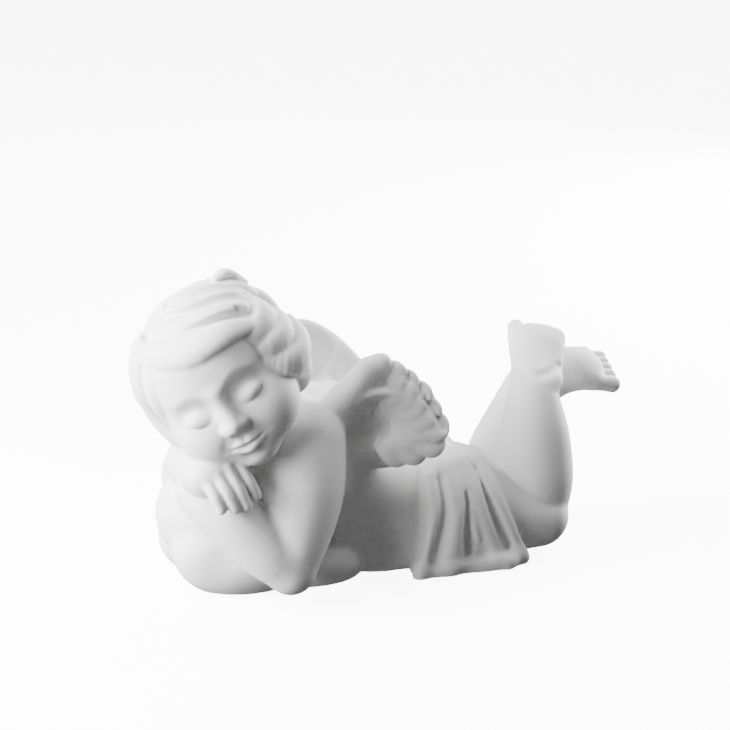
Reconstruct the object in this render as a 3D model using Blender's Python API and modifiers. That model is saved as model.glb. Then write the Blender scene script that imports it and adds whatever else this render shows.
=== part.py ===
"""A sleeping angel: a small figure in white unglazed porcelain, cast in one piece.

The child lies on its front on a low cloud, its head on its crossed forearms.
A cloth lies over its hips, two short wings stand on its back, and its lower
legs are raised and crossed at the ankles.

+X runs from the head to the feet, the figure's left side faces -Y, and it
rests on the plane Z = 0. It is laid out in 150ths of its length, so that a
place such as (-24, -16, 37) follows the length. Every form is a ball, a
tapered tube or a carved stroke. The balls and tubes are first set down as
meshes and remeshed into one skin, which then settles on the blend of all the
forms, the way wet clay is smoothed over its lumps.
"""

import math

import bmesh
import bpy
import numpy as np
from mathutils import Matrix, Vector

FIGURE_LENGTH = 0.150
UNIT = FIGURE_LENGTH / 150.0
SKIN_VOXEL = 0.85 * UNIT
SKIN_TRIANGLES = 9300
REACH = 3.0 * UNIT
FAR = 1.0e3 * UNIT


def unit_vector(v):
    v = np.array(v, float)
    return v / np.linalg.norm(v)


def join(a, b, blend):
    """The union of two fields, rounded where they meet over the width blend."""
    share = np.clip(0.5 + 0.5 * (b - a) / blend, 0.0, 1.0)
    return b * (1 - share) + a * share - blend * share * (1 - share)


class Place:
    """An origin and three directions, in which a head, a foot or a wing is laid out."""

    def __init__(self, origin=(0, 0, 0), z=(0, 0, 1), y=(0, 1, 0), mirrored=False):
        self.origin = np.array(origin, float)
        self.z = unit_vector(z)
        self.x = unit_vector(np.cross(y, self.z))
        self.y = np.cross(self.z, self.x)
        if mirrored:
            self.x = -self.x

    def at(self, x, y, z):
        return self.origin + x * self.x + y * self.y + z * self.z

    def axes(self):
        return np.array([self.x, self.y, self.z])


WORLD = Place()


class Form:
    """Something that changes the field inside its own box."""

    def bound(self, points, margin):
        self.low = points.min(0) - margin
        self.high = points.max(0) + margin

    def near(self, points):
        return np.flatnonzero(((points > self.low) & (points < self.high)).all(1))

    def apply(self, value, points):
        near = self.near(points)
        if len(near):
            value[near] = self.change(value[near], points[near])
        return value


class Solid(Form):
    """A form that adds its own body to the field."""

    def change(self, value, points):
        return join(value, self.distance(points), self.blend)


def inward(scaled, reach, thinnest):
    """The depth below a flattened form's surface, which ends at its core as the thinnest half."""
    share = np.clip(scaled, 0, 1) ** 4
    return (scaled - 1) * (thinnest + share * (reach - thinnest))


class Ball(Solid):
    """An ellipsoid."""

    def __init__(self, centre, radii, place=WORLD, blend=3.0):
        self.centre = place.at(*centre) * UNIT
        radii = (radii,) * 3 if np.isscalar(radii) else radii
        self.radii = np.array(radii, float) * UNIT
        self.axes = place.axes()
        self.blend = blend * UNIT
        self.bound(self.centre[None], self.radii.max() + self.blend + REACH)

    def distance(self, points):
        local = (points - self.centre) @ self.axes.T
        scaled = np.linalg.norm(local / self.radii, axis=1)
        steep = np.linalg.norm(local / self.radii**2, axis=1)
        return inward(scaled, scaled / np.maximum(steep, 1e-9 / UNIT), self.radii.min())

    def beads(self):
        yield self.centre, self.axes, self.radii


def smooth_route(stations, steps):
    """Points on a smooth curve through the stations, each a place with its radius."""
    p = np.array(stations, float)
    p = np.vstack([2 * p[0] - p[1], p, 2 * p[-1] - p[-2]])
    found = []
    for a, b, c, d in zip(p[:-3], p[1:-2], p[2:-1], p[3:]):
        for t in np.arange(steps) / steps:
            found.append(
                0.5 * (2 * b + (c - a) * t + (2 * a - 5 * b + 4 * c - d) * t**2
                       + (3 * b - a - 3 * c + d) * t**3)
            )
    return np.array(found + [p[-2]])


class Tube(Solid):
    """A round or flattened tube along a curve, with its own radius at each station."""

    def __init__(self, stations, place=WORLD, blend=3.0, flat=1.0, flat_to=None, lean=0.0, steps=4):
        route = smooth_route(stations, steps)
        self.lean = lean
        self.route = np.array([place.at(*s[:3]) for s in route]) * UNIT
        self.radii = np.maximum(route[:, 3], 0.15) * UNIT
        self.blend = blend * UNIT
        self.flat = flat
        self.normals = self.flat_directions(place, flat_to)
        margin = self.radii.max() + self.blend + REACH
        self.bound(self.route, margin)

    def flat_directions(self, place, flat_to):
        """The thin direction at each station: one direction, or away from a centre."""
        if flat_to is None:
            return np.tile(place.z, (len(self.route), 1))
        kind, target = flat_to
        if kind == "direction":
            return np.tile(unit_vector(target), (len(self.route), 1))
        away = self.route - np.array(target) * UNIT
        away /= np.linalg.norm(away, axis=1)[:, None]
        aside = np.cross(np.gradient(self.route, axis=0), away)
        aside /= np.linalg.norm(aside, axis=1)[:, None]
        leaning = away - self.lean * aside
        return leaning / np.linalg.norm(leaning, axis=1)[:, None]

    def distance(self, points):
        best = np.full(len(points), FAR)
        for i in range(len(self.route) - 1):
            length = max(np.linalg.norm(self.route[i + 1] - self.route[i]), 1e-9)
            along = (self.route[i + 1] - self.route[i]) / length
            slope = np.clip((self.radii[i + 1] - self.radii[i]) / length, -0.9, 0.9)
            offset = points - self.route[i]
            squared = (offset**2).sum(1)
            straight = offset @ along
            across = np.sqrt(np.maximum(squared - straight**2, 0))
            axial = np.clip(straight + slope / math.sqrt(1 - slope**2) * across, 0, length)
            radius = self.radii[i] + slope * axial
            away = np.maximum(squared - 2 * axial * straight + axial**2, 0)
            if self.flat == 1.0:
                best = np.minimum(best, np.sqrt(away) - radius)
                continue
            share = axial / length
            first, last = self.normals[i], self.normals[i + 1]
            thin = (1 - share) * (offset @ first - axial * (along @ first))
            thin += share * (offset @ last - axial * (along @ last))
            wide = np.maximum(away - thin**2, 0)
            scaled = np.sqrt(wide + (thin / self.flat) ** 2)
            steep = np.sqrt(wide + (thin / self.flat**2) ** 2)
            reach = radius * scaled / np.maximum(steep, 1e-9 * UNIT)
            best = np.minimum(best, inward(scaled / radius, reach, self.flat * radius))
        return best

    def beads(self):
        for here, radius, normal in zip(self.route, self.radii, self.normals):
            side = unit_vector(np.cross(normal, (0.31, 0.52, 0.79)))
            axes = np.array([side, np.cross(normal, side), normal])
            yield here, axes, np.array([radius, radius, radius * self.flat])


class Stroke(Form):
    """A groove pressed in along a curve, or a ridge raised where the depth is negative."""

    def __init__(self, stations, depth, place=WORLD, steps=4):
        route = smooth_route(stations, steps)
        self.route = np.array([place.at(*s[:3]) for s in route]) * UNIT
        self.widths = np.maximum(route[:, 3], 0.1) * UNIT
        self.depth = depth * UNIT
        self.bound(self.route, self.widths.max() * 3)

    def change(self, value, points):
        strength = np.zeros(len(points))
        for i in range(max(len(self.route) - 1, 1)):
            a, b = self.route[i], self.route[min(i + 1, len(self.route) - 1)]
            span = b - a
            t = np.clip((points - a) @ span / max(span @ span, 1e-12), 0, 1)
            width = self.widths[i] + t * (self.widths[min(i + 1, len(self.route) - 1)] - self.widths[i])
            away = np.linalg.norm(points - a - t[:, None] * span, axis=1)
            strength = np.maximum(strength, np.exp(-((away / width) ** 2)))
        return value + self.depth * strength

    def beads(self):
        return ()


class Group(Solid):
    """Forms that are blended with each other first and then, as one, with the rest."""

    def __init__(self, forms, blend):
        self.forms = forms
        self.blend = blend * UNIT
        self.low = np.min([f.low for f in forms], axis=0) - self.blend
        self.high = np.max([f.high for f in forms], axis=0) + self.blend

    def distance(self, points):
        value = np.full(len(points), FAR)
        for form in self.forms:
            value = form.apply(value, points)
        return value

    def beads(self):
        for form in self.forms:
            yield from form.beads()


def torso_and_thighs():
    return [
        Ball((22, 1, 13.5), (14, 17, 14.5)),
        Ball((22.5, -7.5, 16.5), (12, 10, 10.5)),
        Ball((24, 9, 16.4), (12, 10.5, 10.2)),
        Ball((3, 0, 15.6), (15, 15.5, 16.6), blend=6),
        Ball((2, -1, 8.5), (17, 15.5, 11.5), blend=4),
        Ball((13, -1, 5.5), (13, 14.5, 8), blend=4),
        Ball((-11, 0, 25), (17, 17.5, 16), blend=6),
        Ball((-19, 1, 35), (13, 15, 10), blend=6),
        Ball((-9, 2, 42), (9, 14, 5.6), blend=5),
        Ball((-31, -12, 37.5), (9, 8, 8), blend=4),
        Tube([(-22, 1, 41, 10), (-30, -3, 46, 9.5), (-38, -7, 51, 9.5)], blend=5),
        Tube([(30, -8.5, 12.4, 11), (37, -10.6, 10.3, 9.6), (44, -12, 9.3, 8.2)], blend=4),
        Tube([(30, 10, 13, 11.5), (38, 12, 11, 10), (43, 13, 10, 8.6)], blend=4),
        Stroke([(-2, 0, 43, 2.5), (5, 0, 33.5, 2)], 0.7),
        Stroke([(29, -9, 26, 3.5), (29.5, 0, 28, 3.8), (30, 9, 26, 3.8)], 1.4),
    ]


def near_arm():
    return [
        Tube([(-23.5, -13.5, 38, 10.8), (-26.2, -17.4, 27, 11.2), (-29.2, -21.2, 16.5, 8.7),
              (-31.2, -23.4, 8.8, 6.0)], blend=3.5),
        Tube([(-31.2, -23.4, 8.8, 6.0), (-36.5, -21.8, 14, 7.3), (-43, -18.6, 20.8, 7.6),
              (-48, -15, 26, 7.0), (-50.5, -12, 28, 6)], blend=1.5),
    ]


def far_arm():
    return [
        Tube([(-22, 16, 38, 9.2), (-32, 19, 30, 8.4), (-43, 15, 24, 6.8)], blend=4),
    ]


def far_forearm_and_hand():
    """The right forearm lies over the left one, its hand hanging over under the chin."""
    forms = [
        Tube([(-43, 14, 26, 6.8), (-44.3, 6, 30.2, 7.6), (-47, -2, 32, 7.4), (-49.2, -9, 33, 6.6),
              (-50.6, -15, 33.8, 5.8)]),
        Ball((-49.6, -18.6, 34.3), (6.6, 5, 5.4), blend=3),
        Ball((-48.0, -20.6, 35.3), (6.4, 3.4, 3.6), blend=3),
    ]
    for knuckle, middle, tip, radius in FINGERS:
        forms.append(
            Tube([(*knuckle, radius), (*middle, radius), (*tip, radius * 0.88)], blend=0.5)
        )
    return forms


# The little finger to the forefinger: knuckle, middle joint, tip and half width.
FINGERS = [
    ((-52.8, -21.9, 34.2), (-51.6, -24.4, 31.0), (-50.3, -25.4, 27.6), 1.6),
    ((-50.4, -22.6, 35.6), (-48.7, -25.2, 31.6), (-47.0, -26.0, 27.6), 1.75),
    ((-47.6, -22.8, 36.6), (-45.8, -25.3, 32.2), (-44.0, -26.0, 27.9), 1.75),
    ((-44.6, -22.2, 37.2), (-42.8, -24.5, 33.6), (-41.0, -25.0, 29.8), 1.65),
]


def near_calf():
    return [
        Tube([(44.4, -9.8, 12, 8.6), (45.0, -9.8, 19, 9.4), (44.9, -9.2, 27, 9.1),
              (44.8, -8.4, 32.6, 8.4), (45.0, -7.0, 38.5, 7.0), (45.8, -5.6, 41.5, 6.2)]),
    ]


def far_calf():
    return [
        Tube([(43.5, 13, 10, 8.4), (46.0, 12.7, 19, 9.0), (49.2, 12, 28, 7.6), (52.4, 11.5, 37, 5.8)]),
    ]


def near_foot():
    foot = Place((46.3, -6.8, 46.4), z=(-0.16, -0.45, 0.88), y=(0.40, 0.78, 0.47))
    return foot_forms(foot, -1, 2.0, 0.7)


def far_foot():
    foot = Place((55.6, 12.0, 44.4), z=(0.05, -0.46, 0.888), y=(0.99, -0.14, -0.05))
    return foot_forms(foot, 1, 0.8, 0.15) + [Ball((57.5, 12, 36.4), (6, 5.5, 4.4), blend=3)]


def foot_forms(foot, side, curl, slant):
    """A foot from its heel: Y to the toes, Z out of the sole, the big toe at side on X.

    The toes curl down by curl, and each is shorter by slant than the one before.
    """
    s = side
    forms = [
        Ball((0, 0.2, -2.5), (6.5, 5.8, 3.5), foot),
        Tube([(0, 1, -2.5, 6.5), (0, 7, -2.6, 6.9), (0, 12.5, -2.4, 7.4)], foot, 1.0, flat=0.5),
        Tube([(-4.8, 16.4, -2.7, 2.9), (0, 17.2, -2.6, 2.9), (4.8, 16.4, -2.7, 2.9)], foot, 1.5, flat=0.9),
        Tube([(0, 1, -7.0, 6.0), (0, 8, -6.2, 5.6), (0, 13, -3.8, 5.6)], foot, 2.5, flat=0.7),
        Stroke([(s * 6.4, 4, 0.6, 2.2), (s * 6.6, 9, 0.6, 2.2)], 0.7, foot),
    ]
    across = 5.2
    sizes = (2.3, 1.7, 1.6, 1.5, 1.4)
    for i, radius in enumerate(sizes):
        x = s * across
        reach = 24.2 - slant * i
        forms.append(
            Tube([(x * 0.97, reach - 8, -3.0, radius), (x, reach - 4, -3.0 - 0.5 * curl, radius * 0.95),
                  (x, reach - radius, -2.8 - curl, radius)], foot, 0.35, steps=3)
        )
        across -= radius + sizes[min(i + 1, 4)] - 0.45
    return forms


HEAD = Place((-45.8, -13, 58), z=(-0.407, -0.909, -0.088), y=(-0.506, 0.1455, 0.851))
SCALP_CENTRE = np.array([1.4, 1.6, -3.5])
SCALP_RADIUS = 17.2


def on_scalp(turn, rise, lift=0.0):
    """A place on the scalp: turned from the face towards the figure's left, and raised."""
    a, b = math.radians(turn), math.radians(rise)
    way = np.array([math.sin(a) * math.cos(b), math.sin(b), math.cos(a) * math.cos(b)])
    return SCALP_CENTRE + (SCALP_RADIUS + lift) * way


def skull():
    return [
        Ball((0, 3.5, -2.5), (16.6, 17, 17.6), HEAD),
        Ball((0, -7.6, 2.5), (15.6, 14.2, 13), HEAD, 6),
        Ball((0, 5, 7), (12, 11, 8.3), HEAD, 5),
        Ball((0, -18.6, 8.0), (4.6, 4, 4.6), HEAD, 5),
        Ball((-8.2, -10.3, 7.0), 6.9, HEAD, 5),
        Ball((8.2, -10.3, 7.0), 6.9, HEAD, 5),
    ]


class Face:
    """Finds the bare skull's surface before the features are set on it."""

    def __init__(self):
        self.skull = Group(skull(), 1.0)

    def on(self, x, y, lift=0.0):
        near, far = 0.0, 30.0
        for _ in range(30):
            middle = 0.5 * (near + far)
            if self.skull.distance(HEAD.at(x, y, middle)[None] * UNIT)[0] < 0:
                near = middle
            else:
                far = middle
        return x, y, near + lift

    def line(self, stations):
        """Stations of x, y, the lift off the skull and the radius, as a route."""
        return [(*self.on(x, y, lift), radius) for x, y, lift, radius in stations]


def skull_and_face():
    face = Face()
    forms = skull()
    for s in (-1, 1):
        forms += [
            Stroke(face.line([(s * 3.6, -2.0, 0, 2.6), (s * 6.5, -1.4, 0, 3.2), (s * 9.5, -2, 0, 3)]),
                   1.1, HEAD),
            Stroke(face.line([(s * 2.6, 1.6, 0.3, 1.6), (s * 6.5, 3.2, 0.3, 1.7), (s * 10.5, 2, 0.3, 1.6)]),
                   -0.3, HEAD),
            Ball(face.on(s * 6.7, -3.7, -2.5), (3.9, 2.6, 3.0), HEAD, 1.2),
            Stroke(face.line([(s * 3.5, -4.2, 0, 0.4), (s * 5, -5.3, 0.1, 0.42), (s * 6.8, -5.75, 0.2, 0.42),
                              (s * 8.7, -5.2, 0.1, 0.42), (s * 10.2, -4.1, -0.1, 0.4)]), 0.55, HEAD),
            Stroke(face.line([(s * 3.4, -10.4, 0.3, 1.0), (s * 5.6, -13.6, 0.2, 1.3)]), 0.3, HEAD),
        ]
    forms += [
        Tube(face.line([(0, 0.5, -1.2, 1.6), (0, -4, -0.4, 1.7), (0, -8.2, 1.1, 2.15)]), HEAD, 2.4),
        Ball(face.on(1.9, -9.0, -0.1), 1.4, HEAD, 1.8),
        Ball(face.on(-1.9, -9.0, -0.1), 1.4, HEAD, 1.8),
        Stroke(face.line([(-1.1, -10.6, 1.6, 0.5), (-1.0, -10.4, 1.9, 0.5)]), 0.4, HEAD, 1),
        Stroke(face.line([(1.1, -10.6, 1.6, 0.5), (1.0, -10.4, 1.9, 0.5)]), 0.4, HEAD, 1),
        Tube(face.line([(-3.8, -14.5, -0.5, 0.6), (-1.6, -13.6, -0.1, 1.05), (0, -13.8, -0.1, 0.95),
                        (1.6, -13.6, -0.1, 1.05), (3.8, -14.5, -0.5, 0.6)]), HEAD, 1.0),
        Tube(face.line([(-3.0, -15.5, -0.5, 0.7), (0, -16.0, 0, 1.25), (3.0, -15.5, -0.5, 0.7)]), HEAD, 1.0),
        Stroke(face.line([(-4.4, -14.4, 0.1, 0.4), (-1.8, -14.6, 0.7, 0.36), (0, -14.9, 0.8, 0.36),
                          (1.8, -14.6, 0.7, 0.36), (4.4, -14.4, 0.1, 0.4)]), 0.6, HEAD),
        Stroke(face.line([(0, -11.6, 0.2, 0.7), (0, -12.6, 0.2, 0.7)]), 0.3, HEAD, 1),
        Stroke(face.line([(-1.6, -18.2, 0, 1.4), (1.6, -18.2, 0, 1.4)]), 0.5, HEAD, 1),
    ]
    return forms


# The locks that show from the front, by name: how far each stands off the scalp, how much
# its lower edge is raised, and its stations of turn, rise, half width and, for some, a
# further height.
FRONT_LOCKS = {
    "fringe": (1.6, 0.3, [(-66, 44, 3.4), (-30, 41, 4.8), (-6, 34.5, 5.0), (18, 34, 4.7), (34, 31, 3.8),
                          (48, 25, 2.4)]),
    "fringe edge": (2.3, 0, [(-52, 28, 1.6), (-30, 23, 2.1), (-12, 22, 2.1), (2, 25, 1.7)]),
    "second": (1.5, 0.4, [(-60, 62, 2.2), (-26, 60, 3), (0, 55, 3.3), (25, 50, 3.7), (45, 45, 3.6),
                          (60, 37, 3), (72, 31, 2.2, -0.8)]),
    "third": (1.3, 0.4, [(-90, 58, 2.2, -0.6), (-45, 71, 2.6, 0.3), (-3, 72, 2.8, 0.5), (31, 66, 3.2), (56, 59, 3), (72, 49, 2.8),
                         (80, 38, 2.2, -0.8)]),
    "fourth": (1.4, 0.3, [(-130, 62, 2.4, -0.6), (-100, 76, 3, 0.2), (40, 84, 3, 0.3), (78, 73, 3), (88, 58, 2.8), (92, 44, 2.4, -0.6),
                          (92, 32, 1.8, -1)]),
    "tuft": (3.4, 0, [(100, 60, 1.2, 0.4), (105, 54, 1.9, 1.4), (111, 47, 1.7, 0.8), (106, 40, 1.2)]),
    "parting curl": (0.4, 0.3, [(92, 32, 2.6, -1.6), (82, 24, 4.2, -0.6), (70, 16, 5.2), (57, 15, 4.4),
                                (48, 18, 3, -0.8)]),
    "temple curl": (1.6, 0.3, [(94, 12, 2.6, -1.6), (84, 3, 4.1, -0.6), (71, -3, 4.5), (58, -1, 3.8, -0.4),
                               (49, 5, 2.6, -2.0)]),
    "cheek curl": (3.4, 0.2, [(96, -4, 2.6, -0.8), (85, -14, 4.2), (72, -20, 4.6), (60, -18, 3.8, -0.8),
                              (50, -10, 2.6, -3)]),
    "jaw curl": (3.2, 0.2, [(100, -24, 2.6), (88, -36, 3.8), (78, -41, 3.6), (68, -38, 2.6, -1),
                            (60, -30, 2, -3)]),
    "left outer": (2.8, 0.3, [(-64, 56, 2.4, -1), (-69, 46, 3.2), (-72, 36, 3.6), (-73, 24, 3.8), (-76, 11, 3.7), (-81, -1, 3.5),
                              (-83, -12, 3.3, 0.8), (-80, -23, 2.9, 1.6), (-73, -31, 2.0, 1.6)]),
    "left inner": (1.6, 0, [(-47, 40, 2.8), (-52, 27, 3.3), (-57, 13, 3.3), (-62, 0, 3.0), (-66, -13, 2.4),
                            (-67, -22, 1.6)]),
    "left curl": (3.2, 0.2, [(-96, 16, 2.6), (-92, 4, 3.4), (-90, -7, 3.5), (-87, -18, 3.4, 0.8),
                             (-81, -28, 3.0, 1.6), (-74, -35, 2.3, 1.4)]),
}
# The deep lines between them: turn, rise and half width.
HAIR_LINES = [
    [(-62, 53, 0.8), (-30, 51, 0.9), (-5, 44.5, 1), (18, 42.5, 1), (34, 39.5, 1), (50, 33, 0.9)],
    [(-50, 68, 0.8), (-15, 66, 0.9), (12, 61, 1), (35, 57, 1), (55, 51, 1), (69, 42, 0.9)],
    [(-40, 79, 0.8), (0, 79, 0.9), (40, 75, 1), (64, 66, 1), (79, 55, 1), (87, 44, 0.8)],
    [(52, 36, 0.9), (58, 27, 0.9), (66, 31, 0.8), (80, 34, 0.7)],
]


def lock(stations, lift=0.3, lean=0.3, blend=0.45, flat=0.62):
    """A lock of hair, flat towards the scalp."""
    centre = HEAD.at(*SCALP_CENTRE)
    route = []
    for turn, rise, radius, *more in stations:
        route.append((*on_scalp(turn, rise, lift + sum(more)), radius))
    return Tube(route, HEAD, blend, flat=flat, flat_to=("centre", centre), lean=lean, steps=3)


def hair():
    r = SCALP_RADIUS
    forms = [
        Ball((0.07 * r, 0.12 * r, -0.3 * r), (1.02 * r, 1.03 * r, 1.01 * r), HEAD),
        Ball((0.61 * r, -0.17 * r, -0.2 * r), (0.62 * r, 0.76 * r, 0.7 * r), HEAD, 3),
        Ball((0.47 * r, 0.41 * r, 0.12 * r), (0.52 * r, 0.47 * r, 0.52 * r), HEAD, 3),
    ]
    forms += [lock(stations, lift, lean) for lift, lean, stations in FRONT_LOCKS.values()]
    for row, (top, bottom, first, radius) in enumerate([(76, 24, 112, 3.9), (38, -12, 120, 4.0),
                                                        (4, -40, 114, 3.4)]):
        for i in range(7 - row % 2):
            turn = first + 23 * i
            sway = 9 if (i + row) % 2 else -7
            span = top - bottom
            forms.append(
                lock([(turn - sway, top, radius * 0.6), (turn, top - 0.3 * span, radius),
                      (turn + sway * 0.6, top - 0.65 * span, radius), (turn - sway * 0.4, bottom, 1.6)],
                     lift=0.7)
            )
    for stations in HAIR_LINES:
        route = [(*on_scalp(turn, rise, 3.0), width) for turn, rise, width in stations]
        forms.append(Stroke(route, 1.3, HEAD))
    return forms


def cloud():
    return [
        Ball((-35, -3, 7.5), (17.5, 14, 11)),
        Ball((-43.6, 2, 17.8), (12.4, 13.5, 12.4), blend=1.5),
        Ball((-43.2, -4.5, 10.5), (11.5, 9.5, 10.5), blend=1.5),
        Ball((-18, -4.8, 4.5), (16, 12.5, 8), blend=1.5),
        Ball((-28, 15, 9), (15, 12, 11), blend=1.5),
        Ball((-39, 14, 8), (12, 11, 10), blend=1.5),
        Ball((-8, 10, 4), (12, 11, 7.5), blend=1.5),
    ]


# The cloth's side, from over the hip down to its hem: the height, and how far out it lies.
CLOTH_HEIGHT = np.array([0, 6, 12, 18, 23, 27, 29.5, 31])
CLOTH_REACH = np.array([20.6, 21, 20.9, 19.8, 17, 12.6, 7.6, 0])


def on_cloth(side, x, z, out=0.0):
    """A place on the cloth's side at the height z, or out from it."""
    y = np.interp(z, CLOTH_HEIGHT, CLOTH_REACH)
    slope = (np.interp(z + 1, CLOTH_HEIGHT, CLOTH_REACH) - np.interp(z - 1, CLOTH_HEIGHT, CLOTH_REACH)) / 2
    steep = math.hypot(1, slope)
    return np.array([x, side * (y + out / steep), z - out * slope / steep])


def panel(side, x_top, x_foot, radius, top=27.0):
    """A part of the hanging cloth, as thick as its tube, from the hip to the ground."""
    stations = []
    for t in np.linspace(0, 1, 6):
        x = x_top + (x_foot - x_top) * t**1.5
        stations.append((*on_cloth(side, x, top * (1 - t), -radius), radius))
    return Tube(stations, blend=4)


def fold(side, places, depth, out=0.0):
    """A crease, or a ridge where the depth is negative; places are x, height and width."""
    return Stroke([(*on_cloth(side, x, z, out), width) for x, z, width in places], depth)


def cloth_side(side):
    """The cloth where it hangs from one hip to the ground, in folds."""
    s = side
    forms = [panel(s, 14, 11, 5), panel(s, 17.5, 16, 6), panel(s, 21, 22.5, 6), panel(s, 24, 30.5, 5),
             panel(s, 26, 33.6, 3)]
    forms.append(
        Tube([(7.0, s * 18.8, 1.5, 1.8), (14, s * 20.2, 1.6, 2.2), (22, s * 21.4, 1.4, 2.5),
              (28.5, s * 22.4, 1.5, 2.5), (33.5, s * 20.4, 2.2, 2.0)], blend=1.5)
    )
    forms += [
        fold(s, [(11.2, 25, 1.8), (10, 17, 1.9), (8, 9, 2.1), (6.2, 3, 2.4), (5.6, 0, 2.6)], -1.7),
        fold(s, [(13.6, 24, 1.5), (13, 17, 1.8), (11.6, 10, 2.0), (10.6, 5, 1.9)], 2.3),
        fold(s, [(16.6, 26, 2), (16.4, 18, 2.2), (15.2, 10, 2.4), (14.2, 3, 2.8)], -1.3),
        fold(s, [(19.4, 20, 1.2), (19.0, 14, 1.6), (18.9, 9, 1.7), (19.4, 6, 1.4)], 2.2),
        fold(s, [(21.4, 27, 1.6), (22.4, 20, 1.6), (24, 13, 1.6), (26.6, 6, 1.7), (28.4, 2, 1.8)], -1.6),
        fold(s, [(20.6, 16, 0.8), (21.0, 12, 0.9), (22, 8.6, 0.7)], -1.1),
        fold(s, [(23.4, 25, 1.1), (25.4, 18, 1.4), (28, 11, 1.5), (31, 5, 1.3)], 2.2),
        fold(s, [(24.8, 28, 1.1), (27.2, 21, 1.2), (30.4, 13, 1.3), (34, 6, 1.5), (36.4, 1.5, 1.8)], -1.7),
    ]
    return forms


def cloth():
    forms = [Ball((18.5, 0, 14), (11, 17, 16))]
    forms += cloth_side(-1)
    forms += cloth_side(1)
    forms.append(Stroke([(18, -24, 0, 2.4), (22, -24, 1.6, 2.4), (27, -24.4, 0.6, 2.2)], 1.8))
    return forms


NEAR_WING = Place((-7.4, -14.9, 43.2), z=(-0.22, -0.95, 0.2), y=(0, 0.2, 0.98))
FAR_WING = Place((-7.1, 14.5, 42.8), z=(-0.22, 0.95, 0.2), y=(0, -0.2, 0.98), mirrored=True)
# Each feather: its direction in degrees up from the feet, and its length from the fan's centre.
MAIN_FEATHERS = [(66, 16.6), (49, 16.4), (32, 17.2), (15, 18.7), (-2, 20.3), (-14, 22.4),
                 (-26, 22.4), (-39, 19.2), (-52, 16.2)]
COVER_FEATHERS = [(34, 12.4), (18, 14.4), (3, 16.0), (-10, 17.6), (-22, 17.8), (-34, 16), (-47, 13.6)]
# Where the far wing's feathers end, along its edge from the head's side to the feet's.
FAR_TIPS = [(-14.5, 21.3), (-10.7, 21.9), (-6.4, 21.0), (-2.6, 19.4), (0.8, 17.3), (4.0, 15.1), (6.9, 12.7),
            (9.5, 10.1), (11.8, 7.5), (13.8, 5.2), (15.6, 2.4), (16.2, -1.4), (15.2, -5.4), (12.6, -9)]


def feather(place, angle, inner, outer, radius, heights, lean=0.3, flat=0.32, point=1.0):
    """A feather in the wing's plane; heights are its lift at root, middle and tip."""
    a = math.radians(angle)
    along = np.array([math.cos(a), math.sin(a), 0])
    lead = np.array([-math.sin(a), math.cos(a), 0])
    normal = np.array([0, 0, 1.0]) + lean * lead
    stations = []
    for share, lift, width in zip((0, 0.5, 0.85, 1), (*heights, heights[-1]), (0.7, 0.9, 1, point)):
        p = along * (inner + share * (outer - point * radius - inner)) + [0, 0, lift]
        stations.append((*p, radius * width))
    return Tube(stations, place, 0.3, flat=flat, flat_to=("direction", normal @ place.axes()), steps=3)


def wing_arm(place):
    return [
        Tube([(-14, -5, -3, 5.6), (-10.3, -2.0, -1, 4.8), (-5.6, 2.6, 0.2, 4.0), (-1.0, 7.5, 0.4, 3.5),
              (1.9, 11.5, 0.4, 3.1)], place, 3),
    ]


def near_wing():
    """The near wing, its underside cupped below the arm that its feathers grow from."""
    w = NEAR_WING
    forms = [Ball((4.5, -1.2, -2.0), (15.5, 12.6, 2.6), w, 0.8), Ball((-3, -4.5, -2.2), (10.5, 8.5, 3.6), w, 2)]
    for angle, length in MAIN_FEATHERS[1:]:
        forms.append(feather(w, angle, 2, length, 4.4, (-0.4, 0.1, 0.7)))
    for angle, length in COVER_FEATHERS:
        forms.append(feather(w, angle, 2, length, 3.1, (0.6, 1.5, 2.6), flat=0.3, point=0.5))
    forms += [
        Stroke([(-2.5, -4, 1.6, 4.4), (2, -3.2, 1.8, 4.4), (5, -3.6, 1.8, 3.8)], 2.2, w),
        Stroke([(-6.5, -3, 0.4, 1.7), (-3.6, 0.4, 1.0, 1.8), (-0.4, 2.2, 1.2, 1.7), (3, 3, 1.2, 1.5)], 1.5, w),
        Stroke([(10.4, 9.2, 0.8, 1.3), (13.0, 7.4, 0.8, 1.5), (15, 4.6, 0.8, 1.3)], 0.9, w),
        Stroke([(16, 2.6, 1.2, 1.2), (18.2, -1.2, 1.3, 1.2), (19.8, -4.8, 1.4, 1.2)], 0.8, w),
    ]
    angle, length = MAIN_FEATHERS[0]
    forms.append(feather(w, angle, 2, length, 2.6, (-0.2, 0.3, 0.4), flat=0.8))
    forms += wing_arm(w)
    forms.append(
        Tube([(-12, -3.5, -0.5, 2.6), (-7.6, -1.0, 0.8, 2.2), (-5.0, 2.0, 1.4, 2.1), (-1.6, 4.2, 1.7, 2.0),
              (1.6, 5.2, 1.7, 1.8), (5, 5.3, 1.5, 1.5), (9.6, 4.3, 1.2, 1.1)], w, 0.6)
    )
    return forms


def far_wing():
    w = FAR_WING
    forms = wing_arm(w)
    for x, y in FAR_TIPS:
        root = np.array([-6.0, -3.0])
        way = np.array([x, y]) - root
        tip = np.array([x, y]) - 5 * unit_vector(way)
        forms.append(
            Tube([(*root, -0.5, 5), (*(root + 0.5 * (tip - root)), 0.6, 5), (*tip, 0.4, 5)], w, 1.5,
                 flat=0.42, flat_to=("direction", w.z))
        )
    for i, (x, y) in enumerate(FAR_TIPS[1::2] + [(9, -2), (6.5, 2.5), (3, 6.5), (-1, 10), (-6, 12.5)]):
        length = math.hypot(x, y)
        lift = 1.4 if i < 7 else 2.3
        forms.append(
            feather(w, math.degrees(math.atan2(y, x)), 0, length - 1, 3.4, (lift, lift, lift - 0.3), flat=0.4)
        )
    return forms


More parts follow.
